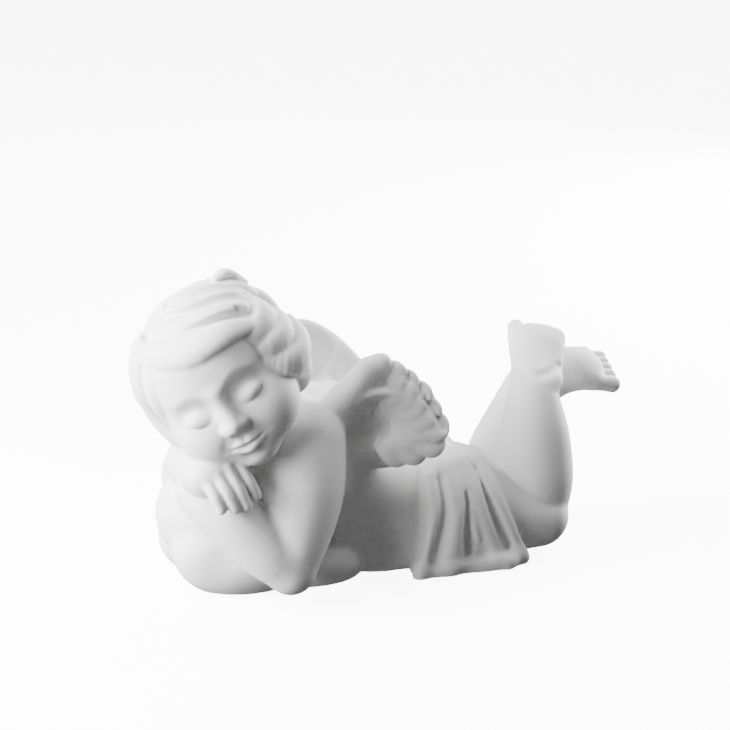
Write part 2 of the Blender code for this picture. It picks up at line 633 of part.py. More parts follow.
def figure():
    """All the forms of the figure, as one field."""
    body = Group(torso_and_thighs() + near_arm() + far_arm(), 3)
    return Group(
        [
            body,
            Group(far_forearm_and_hand(), 0.8),
            Group(near_calf(), 0.7),
            Group(far_calf(), 1.5),
            Group(near_foot(), 1.2),
            Group(far_foot(), 1.2),
            Group(cloud(), 0.8),
            Group(cloth(), 0.8),
            Group(far_wing(), 3.5),
            Group(near_wing(), 1.2),
            Group(skull_and_face(), 1.2),
            Group(hair(), 0.6),
        ],
        0.5,
    )


def lump_mesh(form):
    """The balls and beads of every form, as loose meshes in one."""
    bead = bpy.data.meshes.new("bead")
    shape = bmesh.new()
    bmesh.ops.create_icosphere(shape, subdivisions=2, radius=1)
    shape.to_mesh(bead)
    shape.free()
    lumps = bmesh.new()
    for centre, axes, radii in form.beads():
        turn = Matrix(axes.T.tolist()).to_4x4()
        if turn.determinant() < 0:
            turn = turn @ Matrix.Scale(-1, 4, Vector((1, 0, 0)))
        placed = bead.copy()
        placed.transform(Matrix.Translation(Vector(centre)) @ turn @ Matrix.Diagonal((*radii, 1)))
        lumps.from_mesh(placed)
        bpy.data.meshes.remove(placed)
    mesh = bpy.data.meshes.new("lumps")
    lumps.to_mesh(mesh)
    lumps.free()
    bpy.data.meshes.remove(bead)
    return mesh


def apply_modifiers(obj):
    """Replaces the object's mesh with the one that its modifiers make."""
    graph = bpy.context.evaluated_depsgraph_get()
    mesh = bpy.data.meshes.new_from_object(obj.evaluated_get(graph))
    obj.modifiers.clear()
    old, obj.data = obj.data, mesh
    bpy.data.meshes.remove(old)


def remesh(obj, voxel):
    modifier = obj.modifiers.new("skin", "REMESH")
    modifier.mode = "VOXEL"
    modifier.voxel_size = voxel
    modifier.adaptivity = 0
    apply_modifiers(obj)


def settle(obj, form, rounds):
    """Moves each vertex along its normal on to the field, and evens out the spacing."""
    mesh = obj.data
    count = len(mesh.vertices)
    ends = np.empty(len(mesh.edges) * 2, np.int32)
    mesh.edges.foreach_get("vertices", ends)
    here = np.concatenate([ends[::2], ends[1::2]])
    there = np.concatenate([ends[1::2], ends[::2]])
    degree = np.bincount(here, minlength=count)
    coordinates = np.empty(count * 3, np.float32)
    mesh.vertices.foreach_get("co", coordinates)
    points = coordinates.reshape(-1, 3).astype(float)
    normals = np.empty(count * 3, np.float32)
    for _ in range(rounds):
        mesh.vertices.foreach_set("co", points.astype(np.float32).ravel())
        mesh.update()
        mesh.vertex_normals.foreach_get("vector", normals)
        normal = normals.reshape(-1, 3).astype(float)
        middle = np.stack(
            [np.bincount(here, points[there, k], count) / degree for k in range(3)], axis=1
        )
        slide = middle - points
        slide -= (slide * normal).sum(1)[:, None] * normal
        offset = np.clip(form.distance(points), -UNIT, UNIT)
        points += 0.4 * slide - 0.9 * offset[:, None] * normal
    mesh.vertices.foreach_set("co", points.astype(np.float32).ravel())
    mesh.update()


def cut_flat(obj):
    """Cuts the underside off flat at the ground and closes it."""
    bm = bmesh.new()
    bm.from_mesh(obj.data)
    for vertex in bm.verts:
        if abs(vertex.co.z) < 0.12 * UNIT:
            vertex.co.z = 0
    bmesh.ops.bisect_plane(
        bm, geom=bm.verts[:] + bm.edges[:] + bm.faces[:],
        plane_co=(0, 0, 0), plane_no=(0, 0, 1), clear_inner=True, dist=1e-7,
    )
    rim = [e for e in bm.edges if e.is_boundary]
    bmesh.ops.holes_fill(bm, edges=rim, sides=0)
    bmesh.ops.triangulate(bm, faces=bm.faces[:])
    bmesh.ops.recalc_face_normals(bm, faces=bm.faces[:])
    bm.to_mesh(obj.data)
    bm.free()


def thin_out(obj, triangles):
    modifier = obj.modifiers.new("thin", "DECIMATE")
    obj.data.calc_loop_triangles()
    modifier.ratio = min(1.0, triangles / len(obj.data.loop_triangles))
    apply_modifiers(obj)


def porcelain():
    material = bpy.data.materials.new("porcelain")
    material.use_nodes = True
    shader = material.node_tree.nodes["Principled BSDF"]
    shader.inputs["Base Color"].default_value = (0.85, 0.85, 0.85, 1)
    shader.inputs["Roughness"].default_value = 0.6
    return material


def build(voxel=SKIN_VOXEL, triangles=SKIN_TRIANGLES, name="angel_statue"):
    form = figure()
    obj = bpy.data.objects.new(name, lump_mesh(form))
    collection = bpy.data.collections.new("sleeping_angel")
    bpy.context.scene.collection.children.link(collection)
    collection.objects.link(obj)
    remesh(obj, 1.4 * voxel)
    settle(obj, form, rounds=3)
    remesh(obj, voxel)
    settle(obj, form, rounds=5)
    if triangles:
        thin_out(obj, triangles)
    cut_flat(obj)
    obj.data.materials.append(porcelain())
    obj.data.shade_smooth()
    return obj


def main():
    for old in list(bpy.data.objects):
        bpy.data.objects.remove(old)
    build()


if __name__ == "__main__":
    main()
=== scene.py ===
"""The sleeping angel's finished surface, its porcelain, and the light that it is shown in.

The skin is made the way the part's is, from the same balls, tubes and strokes, but
finer, so that feathers, locks, lids and toes are crisp. Everything is in metres.
"""

import math

import bmesh
import bpy
import numpy as np
from mathutils import Matrix, Vector

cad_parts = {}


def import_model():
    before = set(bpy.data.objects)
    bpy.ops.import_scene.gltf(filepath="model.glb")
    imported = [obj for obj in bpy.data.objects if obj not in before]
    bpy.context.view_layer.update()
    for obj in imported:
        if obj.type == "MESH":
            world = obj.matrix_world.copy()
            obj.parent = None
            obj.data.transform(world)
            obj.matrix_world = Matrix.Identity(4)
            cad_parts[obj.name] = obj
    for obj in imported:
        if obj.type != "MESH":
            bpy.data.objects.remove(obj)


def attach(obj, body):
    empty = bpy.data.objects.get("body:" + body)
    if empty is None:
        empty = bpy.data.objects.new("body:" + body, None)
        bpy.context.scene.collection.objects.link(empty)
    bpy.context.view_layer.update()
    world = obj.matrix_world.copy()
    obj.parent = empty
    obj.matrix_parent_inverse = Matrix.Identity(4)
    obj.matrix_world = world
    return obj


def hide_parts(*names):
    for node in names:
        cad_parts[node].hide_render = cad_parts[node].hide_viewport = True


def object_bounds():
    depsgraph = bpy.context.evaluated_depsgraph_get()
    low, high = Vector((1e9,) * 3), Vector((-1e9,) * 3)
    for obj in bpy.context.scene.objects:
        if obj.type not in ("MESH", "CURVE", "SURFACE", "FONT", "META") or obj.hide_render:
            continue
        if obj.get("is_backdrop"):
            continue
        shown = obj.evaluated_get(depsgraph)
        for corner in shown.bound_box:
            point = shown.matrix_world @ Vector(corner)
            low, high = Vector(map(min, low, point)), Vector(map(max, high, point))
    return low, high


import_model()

FIGURE_LENGTH = 0.150
UNIT = FIGURE_LENGTH / 150.0
SKIN_VOXEL = 0.4 * UNIT
COARSE_VOXEL = 2.2 * SKIN_VOXEL
SKIN_TRIANGLES = 190000
# How far outside a form its own field is worked out, and the value where no form is near.
REACH = 3.0 * UNIT
FAR = 1.0e3 * UNIT


def unit_vector(v):
    v = np.array(v, float)
    return v / np.linalg.norm(v)


def join(a, b, blend):
    """The union of two fields, rounded where they meet over the width blend."""
    share = np.clip(0.5 + 0.5 * (b - a) / blend, 0.0, 1.0)
    return b * (1 - share) + a * share - blend * share * (1 - share)


class Place:
    """An origin and three directions, in which a head, a foot or a wing is laid out."""

    def __init__(self, origin=(0, 0, 0), z=(0, 0, 1), y=(0, 1, 0), mirrored=False):
        self.origin = np.array(origin, float)
        self.z = unit_vector(z)
        self.x = unit_vector(np.cross(y, self.z))
        self.y = np.cross(self.z, self.x)
        if mirrored:
            self.x = -self.x

    def at(self, x, y, z):
        return self.origin + x * self.x + y * self.y + z * self.z

    def axes(self):
        return np.array([self.x, self.y, self.z])


WORLD = Place()


class Form:
    """Something that changes the field inside its own box."""

    def bound(self, points, margin):
        self.low = points.min(0) - margin
        self.high = points.max(0) + margin

    def near(self, points):
        return np.flatnonzero(((points > self.low) & (points < self.high)).all(1))

    def apply(self, value, points):
        near = self.near(points)
        if len(near):
            value[near] = self.change(value[near], points[near])
        return value


class Solid(Form):
    """A form that adds its own body to the field."""

    def change(self, value, points):
        return join(value, self.distance(points), self.blend)


def inward(scaled, reach, thinnest):
    """The depth below a flattened form's surface, which ends at its core as the thinnest half."""
    share = np.clip(scaled, 0, 1) ** 4
    return (scaled - 1) * (thinnest + share * (reach - thinnest))


class Ball(Solid):
    """An ellipsoid."""

    def __init__(self, centre, radii, place=WORLD, blend=3.0):
        self.centre = place.at(*centre) * UNIT
        radii = (radii,) * 3 if np.isscalar(radii) else radii
        self.radii = np.array(radii, float) * UNIT
        self.axes = place.axes()
        self.blend = blend * UNIT
        self.bound(self.centre[None], self.radii.max() + self.blend + REACH)

    def distance(self, points):
        local = (points - self.centre) @ self.axes.T
        scaled = np.linalg.norm(local / self.radii, axis=1)
        steep = np.linalg.norm(local / self.radii**2, axis=1)
        return inward(scaled, scaled / np.maximum(steep, 1e-9 / UNIT), self.radii.min())

    def beads(self):
        yield self.centre, self.axes, self.radii


def smooth_route(stations, steps):
    """Points on a smooth curve through the stations, each a place with its radius."""
    p = np.array(stations, float)
    p = np.vstack([2 * p[0] - p[1], p, 2 * p[-1] - p[-2]])
    found = []
    for a, b, c, d in zip(p[:-3], p[1:-2], p[2:-1], p[3:]):
        for t in np.arange(steps) / steps:
            found.append(
                0.5 * (2 * b + (c - a) * t + (2 * a - 5 * b + 4 * c - d) * t**2
                       + (3 * b - a - 3 * c + d) * t**3)
            )
    return np.array(found + [p[-2]])


class Tube(Solid):
    """A round or flattened tube along a curve, with its own radius at each station."""

    def __init__(self, stations, place=WORLD, blend=3.0, flat=1.0, flat_to=None, lean=0.0, steps=4):
        route = smooth_route(stations, steps)
        self.lean = lean
        self.route = np.array([place.at(*s[:3]) for s in route]) * UNIT
        self.radii = np.maximum(route[:, 3], 0.15) * UNIT
        self.blend = blend * UNIT
        self.flat = flat
        self.normals = self.flat_directions(place, flat_to)
        margin = self.radii.max() + self.blend + REACH
        self.bound(self.route, margin)

    def flat_directions(self, place, flat_to):
        """The thin direction at each station: one direction, or away from a centre."""
        if flat_to is None:
            return np.tile(place.z, (len(self.route), 1))
        kind, target = flat_to
        if kind == "direction":
            return np.tile(unit_vector(target), (len(self.route), 1))
        away = self.route - np.array(target) * UNIT
        away /= np.linalg.norm(away, axis=1)[:, None]
        aside = np.cross(np.gradient(self.route, axis=0), away)
        aside /= np.linalg.norm(aside, axis=1)[:, None]
        leaning = away - self.lean * aside
        return leaning / np.linalg.norm(leaning, axis=1)[:, None]

    def distance(self, points):
        best = np.full(len(points), FAR)
        for i in range(len(self.route) - 1):
            length = max(np.linalg.norm(self.route[i + 1] - self.route[i]), 1e-9)
            along = (self.route[i + 1] - self.route[i]) / length
            slope = np.clip((self.radii[i + 1] - self.radii[i]) / length, -0.9, 0.9)
            offset = points - self.route[i]
            squared = (offset**2).sum(1)
            straight = offset @ along
            across = np.sqrt(np.maximum(squared - straight**2, 0))
            axial = np.clip(straight + slope / math.sqrt(1 - slope**2) * across, 0, length)
            radius = self.radii[i] + slope * axial
            away = np.maximum(squared - 2 * axial * straight + axial**2, 0)
            if self.flat == 1.0:
                best = np.minimum(best, np.sqrt(away) - radius)
                continue
            share = axial / length
            first, last = self.normals[i], self.normals[i + 1]
            thin = (1 - share) * (offset @ first - axial * (along @ first))
            thin += share * (offset @ last - axial * (along @ last))
            wide = np.maximum(away - thin**2, 0)
            scaled = np.sqrt(wide + (thin / self.flat) ** 2)
            steep = np.sqrt(wide + (thin / self.flat**2) ** 2)
            reach = radius * scaled / np.maximum(steep, 1e-9 * UNIT)
            best = np.minimum(best, inward(scaled / radius, reach, self.flat * radius))
        return best

    def beads(self):
        for here, radius, normal in zip(self.route, self.radii, self.normals):
            side = unit_vector(np.cross(normal, (0.31, 0.52, 0.79)))
            axes = np.array([side, np.cross(normal, side), normal])
            yield here, axes, np.array([radius, radius, radius * self.flat])


class Stroke(Form):
    """A groove pressed in along a curve, or a ridge raised where the depth is negative."""

    def __init__(self, stations, depth, place=WORLD, steps=4):
        route = smooth_route(stations, steps)
        self.route = np.array([place.at(*s[:3]) for s in route]) * UNIT
        self.widths = np.maximum(route[:, 3], 0.1) * UNIT
        self.depth = depth * UNIT
        self.bound(self.route, self.widths.max() * 3)

    def change(self, value, points):
        strength = np.zeros(len(points))
        for i in range(max(len(self.route) - 1, 1)):
            a, b = self.route[i], self.route[min(i + 1, len(self.route) - 1)]
            span = b - a
            t = np.clip((points - a) @ span / max(span @ span, 1e-12), 0, 1)
            width = self.widths[i] + t * (self.widths[min(i + 1, len(self.route) - 1)] - self.widths[i])
            away = np.linalg.norm(points - a - t[:, None] * span, axis=1)
            strength = np.maximum(strength, np.exp(-((away / width) ** 2)))
        return value + self.depth * strength

    def beads(self):
        return ()


class Group(Solid):
    """Forms that are blended with each other first and then, as one, with the rest."""

    def __init__(self, forms, blend):
        self.forms = forms
        self.blend = blend * UNIT
        self.low = np.min([f.low for f in forms], axis=0) - self.blend
        self.high = np.max([f.high for f in forms], axis=0) + self.blend

    def distance(self, points):
        value = np.full(len(points), FAR)
        for form in self.forms:
            value = form.apply(value, points)
        return value

    def beads(self):
        for form in self.forms:
            yield from form.beads()


def torso_and_thighs():
    return [
        Ball((22, 1, 13.5), (14, 17, 14.5)),
        Ball((22.5, -7.5, 16.5), (12, 10, 10.5)),
        Ball((24, 9, 16.4), (12, 10.5, 10.2)),
        Ball((3, 0, 15.6), (15, 15.5, 16.6), blend=6),
        Ball((2, -1, 8.5), (17, 15.5, 11.5), blend=4),
        Ball((13, -1, 5.5), (13, 14.5, 8), blend=4),
        Ball((-11, 0, 25), (17, 17.5, 16), blend=6),
        Ball((-19, 1, 35), (13, 15, 10), blend=6),
        Ball((-9, 2, 42), (9, 14, 5.6), blend=5),
        Ball((-31, -12, 37.5), (9, 8, 8), blend=4),
        Tube([(-22, 1, 41, 10), (-30, -3, 46, 9.5), (-38, -7, 51, 9.5)], blend=5),
        Tube([(30, -8.5, 12.4, 11), (37, -10.6, 10.3, 9.6), (44, -12, 9.3, 8.2)], blend=4),
        Tube([(30, 10, 13, 11.5), (38, 12, 11, 10), (43, 13, 10, 8.6)], blend=4),
        Stroke([(-2, 0, 43, 2.5), (5, 0, 33.5, 2)], 0.7),
        Stroke([(29, -9, 26, 3.5), (29.5, 0, 28, 3.8), (30, 9, 26, 3.8)], 1.4),
    ]


def near_arm():
    return [
        Tube([(-23.5, -13.5, 38, 10.8), (-26.2, -17.4, 27, 11.2), (-29.2, -21.2, 16.5, 8.7),
              (-31.2, -23.4, 8.8, 6.0)], blend=3.5),
        Tube([(-31.2, -23.4, 8.8, 6.0), (-36.5, -21.8, 14, 7.3), (-43, -18.6, 20.8, 7.6),
              (-48, -15, 26, 7.0), (-50.5, -12, 28, 6)], blend=1.5),
    ]


def far_arm():
    return [
        Tube([(-22, 16, 38, 9.2), (-32, 19, 30, 8.4), (-43, 15, 24, 6.8)], blend=4),
    ]


def far_forearm_and_hand():
    """The right forearm lies over the left one, its hand hanging over under the chin."""
    forms = [
        Tube([(-43, 14, 26, 6.8), (-44.3, 6, 30.2, 7.6), (-47, -2, 32, 7.4), (-49.2, -9, 33, 6.6),
              (-50.6, -15, 33.8, 5.8)]),
        Ball((-49.6, -18.6, 34.3), (6.6, 5, 5.4), blend=3),
        Ball((-48.0, -20.6, 35.3), (6.4, 3.4, 3.6), blend=3),
    ]
    for knuckle, middle, tip, radius in FINGERS:
        forms.append(
            Tube([(*knuckle, radius), (*middle, radius), (*tip, radius * 0.88)], blend=0.5)
        )
    return forms


# The little finger to the forefinger: knuckle, middle joint, tip and half width.
FINGERS = [
    ((-52.8, -21.9, 34.2), (-51.6, -24.4, 31.0), (-50.3, -25.4, 27.6), 1.6),
    ((-50.4, -22.6, 35.6), (-48.7, -25.2, 31.6), (-47.0, -26.0, 27.6), 1.75),
    ((-47.6, -22.8, 36.6), (-45.8, -25.3, 32.2), (-44.0, -26.0, 27.9), 1.75),
    ((-44.6, -22.2, 37.2), (-42.8, -24.5, 33.6), (-41.0, -25.0, 29.8), 1.65),
]


def near_calf():
    return [
        Tube([(44.4, -9.8, 12, 8.6), (45.0, -9.8, 19, 9.4), (44.9, -9.2, 27, 9.1),
              (44.8, -8.4, 32.6, 8.4), (45.0, -7.0, 38.5, 7.0), (45.8, -5.6, 41.5, 6.2)]),
    ]


def far_calf():
    return [
        Tube([(43.5, 13, 10, 8.4), (46.0, 12.7, 19, 9.0), (49.2, 12, 28, 7.6), (52.4, 11.5, 37, 5.8)]),
    ]


def near_foot():
    foot = Place((46.3, -6.8, 46.4), z=(-0.16, -0.45, 0.88), y=(0.40, 0.78, 0.47))
    return foot_forms(foot, -1, 2.0, 0.7)


def near_heel_crease():
    """The soft edge where the near sole meets the back of the heel."""
    return Stroke([(42.3, -0.5, 47.2, 0.9), (42.2, -3.6, 46.9, 1.2), (43.4, -7.9, 46.5, 1.4),
                   (46.6, -9.2, 46.5, 1.4), (50.8, -7.6, 46.9, 1.2), (53.6, -5.4, 47.4, 0.9)], 0.8)


def far_foot():
    foot = Place((55.6, 12.0, 44.4), z=(0.05, -0.46, 0.888), y=(0.99, -0.14, -0.05))
    return foot_forms(foot, 1, 0.8, 0.15) + [Ball((57.5, 12, 36.4), (6, 5.5, 4.4), blend=3)]


def foot_forms(foot, side, curl, slant):
    """A foot from its heel: Y to the toes, Z out of the sole, the big toe at side on X.

    The toes curl down by curl, and each is shorter by slant than the one before.
    """
    s = side
    forms = [
        Ball((0, 0.2, -2.5), (6.5, 5.8, 3.5), foot),
        Tube([(0, 1, -2.5, 6.5), (0, 7, -2.6, 6.9), (0, 12.5, -2.4, 7.4)], foot, 1.0, flat=0.5),
        Tube([(-4.8, 16.4, -2.7, 2.9), (0, 17.2, -2.6, 2.9), (4.8, 16.4, -2.7, 2.9)], foot, 1.5, flat=0.9),
        Tube([(0, 1, -7.0, 6.0), (0, 8, -6.2, 5.6), (0, 13, -3.8, 5.6)], foot, 2.5, flat=0.7),
        Stroke([(s * 6.4, 4, 0.6, 2.2), (s * 6.6, 9, 0.6, 2.2)], 0.7, foot),
    ]
    across = 5.2
    overlap = 0.45
    sizes = (2.3, 1.7, 1.6, 1.5, 1.4)
    for i, radius in enumerate(sizes):
        x = s * across
        reach = 24.2 - slant * i
        forms.append(
            Tube([(x * 0.97, reach - 8, -3.0, radius), (x, reach - 4, -3.0 - 0.5 * curl, radius * 0.95),
                  (x, reach - radius, -2.8 - curl, radius)], foot, 0.35, steps=3)
        )
        across -= radius + sizes[min(i + 1, 4)] - overlap
    return forms


HEAD = Place((-45.8, -13, 58), z=(-0.407, -0.909, -0.088), y=(-0.506, 0.1455, 0.851))
SCALP_CENTRE = np.array([1.4, 1.6, -3.5])
SCALP_RADIUS = 17.2


def on_scalp(turn, rise, lift=0.0):
    """A place on the scalp: turned from the face towards the figure's left, and raised."""
    a, b = math.radians(turn), math.radians(rise)
    way = np.array([math.sin(a) * math.cos(b), math.sin(b), math.cos(a) * math.cos(b)])
    return SCALP_CENTRE + (SCALP_RADIUS + lift) * way


def skull():
    return [
        Ball((0, 3.5, -2.5), (16.6, 17, 17.6), HEAD),
        Ball((0, -7.6, 2.5), (15.6, 14.2, 13), HEAD, 6),
        Ball((0, 5, 7), (12, 11, 8.3), HEAD, 5),
        Ball((0, -18.6, 8.0), (4.6, 4, 4.6), HEAD, 5),
        Ball((-8.2, -10.3, 7.0), 6.9, HEAD, 5),
        Ball((8.2, -10.3, 7.0), 6.9, HEAD, 5),
    ]


class Face:
    """Finds the bare skull's surface before the features are set on it."""

    BEYOND_SKULL = 30.0
    HALVINGS = 30

    def __init__(self):
        self.skull = Group(skull(), 1.0)

    def on(self, x, y, lift=0.0):
        """A place on the skull, or lifted off it, found by halving the way out from its middle."""
        near, far = 0.0, self.BEYOND_SKULL
        for _ in range(self.HALVINGS):
            middle = 0.5 * (near + far)
            if self.skull.distance(HEAD.at(x, y, middle)[None] * UNIT)[0] < 0:
                near = middle
            else:
                far = middle
        return x, y, near + lift

    def line(self, stations):
        """Stations of x, y, the lift off the skull and the radius, as a route."""
        return [(*self.on(x, y, lift), radius) for x, y, lift, radius in stations]


def skull_and_face():
    face = Face()
    forms = skull()
    for s in (-1, 1):
        forms += [
            Stroke(face.line([(s * 3.6, -2.0, 0, 2.6), (s * 6.5, -1.4, 0, 3.2), (s * 9.5, -2, 0, 3)]),
                   1.1, HEAD),
            Stroke(face.line([(s * 2.6, 1.6, 0.3, 1.6), (s * 6.5, 3.2, 0.3, 1.7), (s * 10.5, 2, 0.3, 1.6)]),
                   -0.3, HEAD),
            Ball(face.on(s * 6.7, -3.7, -2.5), (3.9, 2.6, 3.0), HEAD, 1.2),
            Stroke(face.line([(s * 3.5, -4.2, 0, 0.4), (s * 5, -5.3, 0.1, 0.42), (s * 6.8, -5.75, 0.2, 0.42),
                              (s * 8.7, -5.2, 0.1, 0.42), (s * 10.2, -4.1, -0.1, 0.4)]), 0.55, HEAD),
            Stroke(face.line([(s * 3.4, -10.4, 0.3, 1.0), (s * 5.6, -13.6, 0.2, 1.3)]), 0.3, HEAD),
        ]
    forms += [
        Tube(face.line([(0, 0.5, -1.2, 1.6), (0, -4, -0.4, 1.7), (0, -8.2, 1.1, 2.15)]), HEAD, 2.4),
        Ball(face.on(1.9, -9.0, -0.1), 1.4, HEAD, 1.8),
        Ball(face.on(-1.9, -9.0, -0.1), 1.4, HEAD, 1.8),
        Stroke(face.line([(-1.1, -10.6, 1.6, 0.5), (-1.0, -10.4, 1.9, 0.5)]), 0.4, HEAD, 1),
        Stroke(face.line([(1.1, -10.6, 1.6, 0.5), (1.0, -10.4, 1.9, 0.5)]), 0.4, HEAD, 1),
        Tube(face.line([(-3.8, -14.5, -0.5, 0.6), (-1.6, -13.6, -0.1, 1.05), (0, -13.8, -0.1, 0.95),
                        (1.6, -13.6, -0.1, 1.05), (3.8, -14.5, -0.5, 0.6)]), HEAD, 1.0),
        Tube(face.line([(-3.0, -15.5, -0.5, 0.7), (0, -16.0, 0, 1.25), (3.0, -15.5, -0.5, 0.7)]), HEAD, 1.0),
        Stroke(face.line([(-4.4, -14.4, 0.1, 0.4), (-1.8, -14.6, 0.7, 0.36), (0, -14.9, 0.8, 0.36),
                          (1.8, -14.6, 0.7, 0.36), (4.4, -14.4, 0.1, 0.4)]), 0.6, HEAD),
        Stroke(face.line([(0, -11.6, 0.2, 0.7), (0, -12.6, 0.2, 0.7)]), 0.3, HEAD, 1),
        Stroke(face.line([(-1.6, -18.2, 0, 1.4), (1.6, -18.2, 0, 1.4)]), 0.5, HEAD, 1),
    ]
    return forms


# The locks that show from the front, by name: how far each stands off the scalp, how much
# its lower edge is raised, and its stations of turn, rise, half width and, for some, a
# further height.
FRONT_LOCKS = {
    "fringe": (1.6, 0.3, [(-66, 44, 3.4), (-30, 41, 4.8), (-6, 34.5, 5.0), (18, 34, 4.7), (34, 31, 3.8),
                          (48, 25, 2.4)]),
    "fringe edge": (2.3, 0, [(-52, 28, 1.6), (-30, 23, 2.1), (-12, 22, 2.1), (2, 25, 1.7)]),
    "second": (1.5, 0.4, [(-60, 62, 2.2), (-26, 60, 3), (0, 55, 3.3), (25, 50, 3.7), (45, 45, 3.6),
                          (60, 37, 3), (72, 31, 2.2, -0.8)]),
    "third": (1.3, 0.4, [(-90, 58, 2.2, -0.6), (-45, 71, 2.6, 0.3), (-3, 72, 2.8, 0.5), (31, 66, 3.2),
                         (56, 59, 3), (72, 49, 2.8), (80, 38, 2.2, -0.8)]),
    "fourth": (1.4, 0.3, [(-130, 62, 2.4, -0.6), (-100, 76, 3, 0.2), (40, 84, 3, 0.3), (78, 73, 3),
                          (88, 58, 2.8), (92, 44, 2.4, -0.6), (92, 32, 1.8, -1)]),
    "tuft": (3.4, 0, [(100, 60, 1.2, 0.4), (105, 54, 1.9, 1.4), (111, 47, 1.7, 0.8), (106, 40, 1.2)]),
    "parting curl": (0.4, 0.3, [(92, 32, 2.6, -1.6), (82, 24, 4.2, -0.6), (70, 16, 5.2), (57, 15, 4.4),
                                (48, 18, 3, -0.8)]),
    "temple curl": (1.6, 0.3, [(94, 12, 2.6, -1.6), (84, 3, 4.1, -0.6), (71, -3, 4.5), (58, -1, 3.8, -0.4),
                               (49, 5, 2.6, -2.0)]),
    "cheek curl": (3.4, 0.2, [(96, -4, 2.6, -0.8), (85, -14, 4.2), (72, -20, 4.6), (60, -18, 3.8, -0.8),
                              (50, -10, 2.6, -3)]),
    "jaw curl": (3.2, 0.2, [(100, -24, 2.6), (88, -36, 3.8), (78, -41, 3.6), (68, -38, 2.6, -1),
                            (60, -30, 2, -3)]),
    "left outer": (2.8, 0.3, [(-64, 56, 2.4, -1), (-69, 46, 3.2), (-72, 36, 3.6), (-73, 24, 3.8),
                              (-76, 11, 3.7), (-81, -1, 3.5), (-83, -12, 3.3, 0.8),
                              (-80, -23, 2.9, 1.6), (-73, -31, 2.0, 1.6)]),
    "left inner": (1.6, 0, [(-47, 40, 2.8), (-52, 27, 3.3), (-57, 13, 3.3), (-62, 0, 3.0), (-66, -13, 2.4),
                            (-67, -22, 1.6)]),
    "left curl": (3.2, 0.2, [(-96, 16, 2.6), (-92, 4, 3.4), (-90, -7, 3.5), (-87, -18, 3.4, 0.8),
                             (-81, -28, 3.0, 1.6), (-74, -35, 2.3, 1.4)]),
}
# The deep lines between them: turn, rise and half width.
HAIR_LINES = [
    [(-62, 53, 0.8), (-30, 51, 0.9), (-5, 44.5, 1), (18, 42.5, 1), (34, 39.5, 1), (50, 33, 0.9)],
    [(-50, 68, 0.8), (-15, 66, 0.9), (12, 61, 1), (35, 57, 1), (55, 51, 1), (69, 42, 0.9)],
    [(-40, 79, 0.8), (0, 79, 0.9), (40, 75, 1), (64, 66, 1), (79, 55, 1), (87, 44, 0.8)],
    [(52, 36, 0.9), (58, 27, 0.9), (66, 31, 0.8), (80, 34, 0.7)],
]


# The rows of locks on the back of the head: top and foot, the first lock's turn, half width.
BACK_ROWS = [(76, 24, 112, 3.9), (38, -12, 120, 4.0), (4, -40, 114, 3.4)]
BACK_LOCKS_IN_ROW = 7
BACK_LOCK_STEP = 23
HAIR_LINE_DEPTH = 1.3


def lock(stations, lift=0.3, lean=0.3, blend=0.45, flat=0.62):
    """A lock of hair, flat towards the scalp."""
    centre = HEAD.at(*SCALP_CENTRE)
    route = []
    for turn, rise, radius, *more in stations:
        route.append((*on_scalp(turn, rise, lift + sum(more)), radius))
    return Tube(route, HEAD, blend, flat=flat, flat_to=("centre", centre), lean=lean, steps=3)


def hair():
    r = SCALP_RADIUS
    forms = [
        Ball((0.07 * r, 0.12 * r, -0.3 * r), (1.02 * r, 1.03 * r, 1.01 * r), HEAD),
        Ball((0.61 * r, -0.17 * r, -0.2 * r), (0.62 * r, 0.76 * r, 0.7 * r), HEAD, 3),
        Ball((0.47 * r, 0.41 * r, 0.12 * r), (0.52 * r, 0.47 * r, 0.52 * r), HEAD, 3),
    ]
    forms += [lock(stations, lift, lean) for lift, lean, stations in FRONT_LOCKS.values()]
    for row, (top, bottom, first, radius) in enumerate(BACK_ROWS):
        for i in range(BACK_LOCKS_IN_ROW - row % 2):
            turn = first + BACK_LOCK_STEP * i
            sway = 9 if (i + row) % 2 else -7
            span = top - bottom
            forms.append(
                lock([(turn - sway, top, radius * 0.6), (turn, top - 0.3 * span, radius),
                      (turn + sway * 0.6, top - 0.65 * span, radius), (turn - sway * 0.4, bottom, 1.6)],
                     lift=0.7)
            )
    for stations in HAIR_LINES:
        route = [(*on_scalp(turn, rise, 3.0), width) for turn, rise, width in stations]
        forms.append(Stroke(route, HAIR_LINE_DEPTH, HEAD))
    return forms


def cloud():
    return [
        Ball((-35, -3, 7.5), (17.5, 14, 11)),
        Ball((-43.6, 2, 17.8), (12.4, 13.5, 12.4), blend=1.5),
        Ball((-43.2, -4.5, 10.5), (11.5, 9.5, 10.5), blend=1.5),
        Ball((-18, -4.8, 4.5), (16, 12.5, 8), blend=1.5),
        Ball((-28, 15, 9), (15, 12, 11), blend=1.5),
        Ball((-39, 14, 8), (12, 11, 10), blend=1.5),
        Ball((-8, 10, 4), (12, 11, 7.5), blend=1.5),
    ]


# The cloth's side, from over the hip down to its hem: the height, and how far out it lies.
CLOTH_HEIGHT = np.array([0, 6, 12, 18, 23, 27, 29.5, 31])
CLOTH_REACH = np.array([20.6, 21, 20.9, 19.8, 17, 12.6, 7.6, 0])


def on_cloth(side, x, z, out=0.0):
    """A place on the cloth's side at the height z, or out from it."""
    y = np.interp(z, CLOTH_HEIGHT, CLOTH_REACH)
    above, below = np.interp([z + 1, z - 1], CLOTH_HEIGHT, CLOTH_REACH)
    slope = (above - below) / 2
    steep = math.hypot(1, slope)
    return np.array([x, side * (y + out / steep), z - out * slope / steep])


